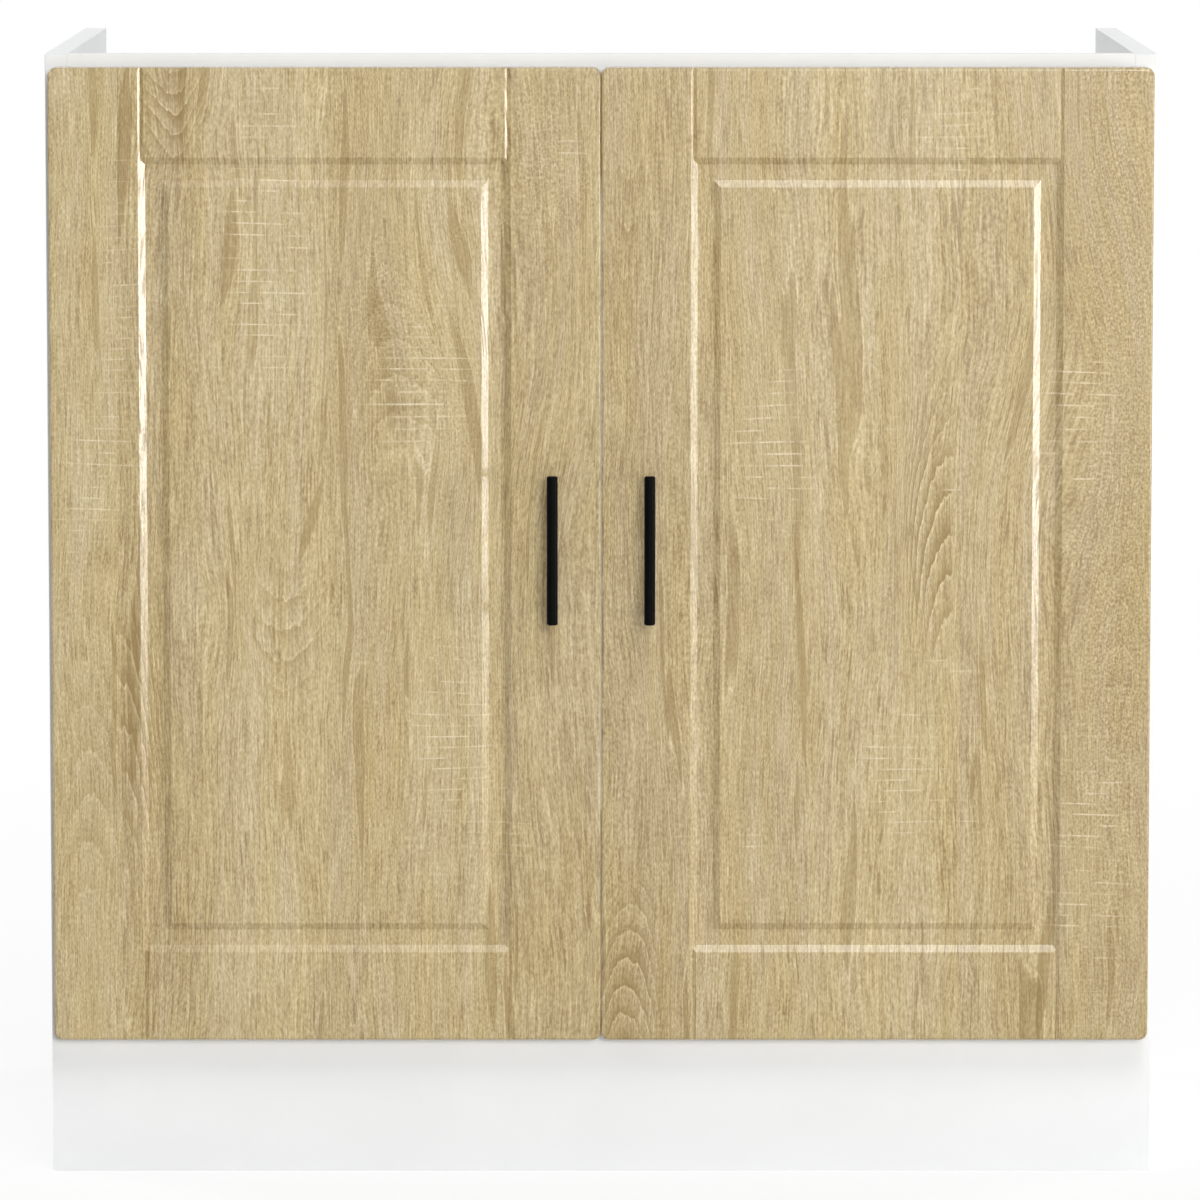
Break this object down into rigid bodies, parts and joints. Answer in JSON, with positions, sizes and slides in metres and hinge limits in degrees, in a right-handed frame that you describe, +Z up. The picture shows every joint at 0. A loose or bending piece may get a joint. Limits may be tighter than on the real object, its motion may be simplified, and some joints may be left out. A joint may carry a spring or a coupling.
{
  "type": "sink base cabinet",
  "caption": "Double-door base cabinet for a kitchen sink: white carcass open at top and back, framed oak-print doors on concealed hinges, black bar handles.",
  "frame": {"origin": "on the floor, in the middle of the width and of the depth over the handles", "axes": "+X to the right, -Y out of the doors, +Z up"},
  "size_m": [0.8, 0.494, 0.815],
  "materials": {
    "white_board": "satin white melamine-faced chipboard",
    "white_edging": "satin white edge band",
    "zinc_alloy": "die-cast zinc alloy",
    "zinc_plated_steel": "zinc-plated steel",
    "beech": "fluted beech",
    "white_plastic": "moulded white plastic",
    "nickel_steel": "nickel-plated pressed steel",
    "oak_foil": "matt oak-print foil on a routed board, white on the back",
    "black_metal": "satin black powder coat",
    "clear_silicone": "clear silicone"
  },
  "bodies": {
    "carcass": {"side_panel_left": "white_board", "side_panel_right": "white_board", "bottom_panel": "white_board", "plinth_board": "white_board", "front_rail": "white_board", "rear_rail_upper": "white_board", "rear_rail_lower": "white_board", "edge_bands": "white_edging", "cam_housings": "zinc_alloy", "cam_bolts": "zinc_plated_steel", "wood_dowels": "beech", "plinth_blocks": "white_plastic", "plinth_block_screws": "zinc_plated_steel", "hinge_plates": "nickel_steel", "hinge_plate_screws": "zinc_plated_steel", "hinge_arms": "nickel_steel", "arm_screws": "zinc_plated_steel", "arm_pins": "nickel_steel"},
    "outer_links_left": {"outer_links_left": "nickel_steel"},
    "inner_links_left": {"inner_links_left": "nickel_steel"},
    "door_left": {"door_left": "oak_foil", "hinge_cups_left": "nickel_steel", "cup_pins_left": "nickel_steel", "cup_screws_left": "zinc_plated_steel", "handle_bar_left": "black_metal", "handle_posts_left": "black_metal", "handle_screws_left": "zinc_plated_steel", "bumpers_left": "clear_silicone"},
    "outer_links_right": {"outer_links_right": "nickel_steel"},
    "inner_links_right": {"inner_links_right": "nickel_steel"},
    "door_right": {"door_right": "oak_foil", "hinge_cups_right": "nickel_steel", "cup_pins_right": "nickel_steel", "cup_screws_right": "zinc_plated_steel", "handle_bar_right": "black_metal", "handle_posts_right": "black_metal", "handle_screws_right": "zinc_plated_steel", "bumpers_right": "clear_silicone"}
  },
  "joints": [
    {"name": "door_left_swing", "type": "hinge", "parent": "outer_links_left", "child": "door_left", "pos_m": [-0.3838, -0.1996, 0.453], "axis": [0, 0, -1], "range_deg": [0, 124.2]},
    {"name": "outer_link_left_turn", "type": "hinge", "parent": "carcass", "child": "outer_links_left", "pos_m": [-0.361, -0.1986, 0.453], "axis": [0, 0, -1], "range_deg": [-34.25, 0.05]},
    {"name": "inner_link_left_turn", "type": "hinge", "parent": "carcass", "child": "inner_links_left", "pos_m": [-0.3626, -0.205, 0.453], "axis": [0, 0, -1], "range_deg": [-17.15, 0.05]},
    {"name": "door_right_swing", "type": "hinge", "parent": "outer_links_right", "child": "door_right", "pos_m": [0.3838, -0.1996, 0.453], "axis": [0, 0, 1], "range_deg": [0, 124.2]},
    {"name": "outer_link_right_turn", "type": "hinge", "parent": "carcass", "child": "outer_links_right", "pos_m": [0.361, -0.1986, 0.453], "axis": [0, 0, 1], "range_deg": [-34.25, 0.05]},
    {"name": "inner_link_right_turn", "type": "hinge", "parent": "carcass", "child": "inner_links_right", "pos_m": [0.3626, -0.205, 0.453], "axis": [0, 0, 1], "range_deg": [-17.15, 0.05]}
  ],
  "couplings": [
    {"joint": "outer_link_left_turn", "follows": "door_left_swing", "ratio": -0.27536},
    {"joint": "inner_link_left_turn", "follows": "door_left_swing", "ratio": -0.13768},
    {"joint": "outer_link_right_turn", "follows": "door_right_swing", "ratio": -0.27536},
    {"joint": "inner_link_right_turn", "follows": "door_right_swing", "ratio": -0.13768}
  ]
}
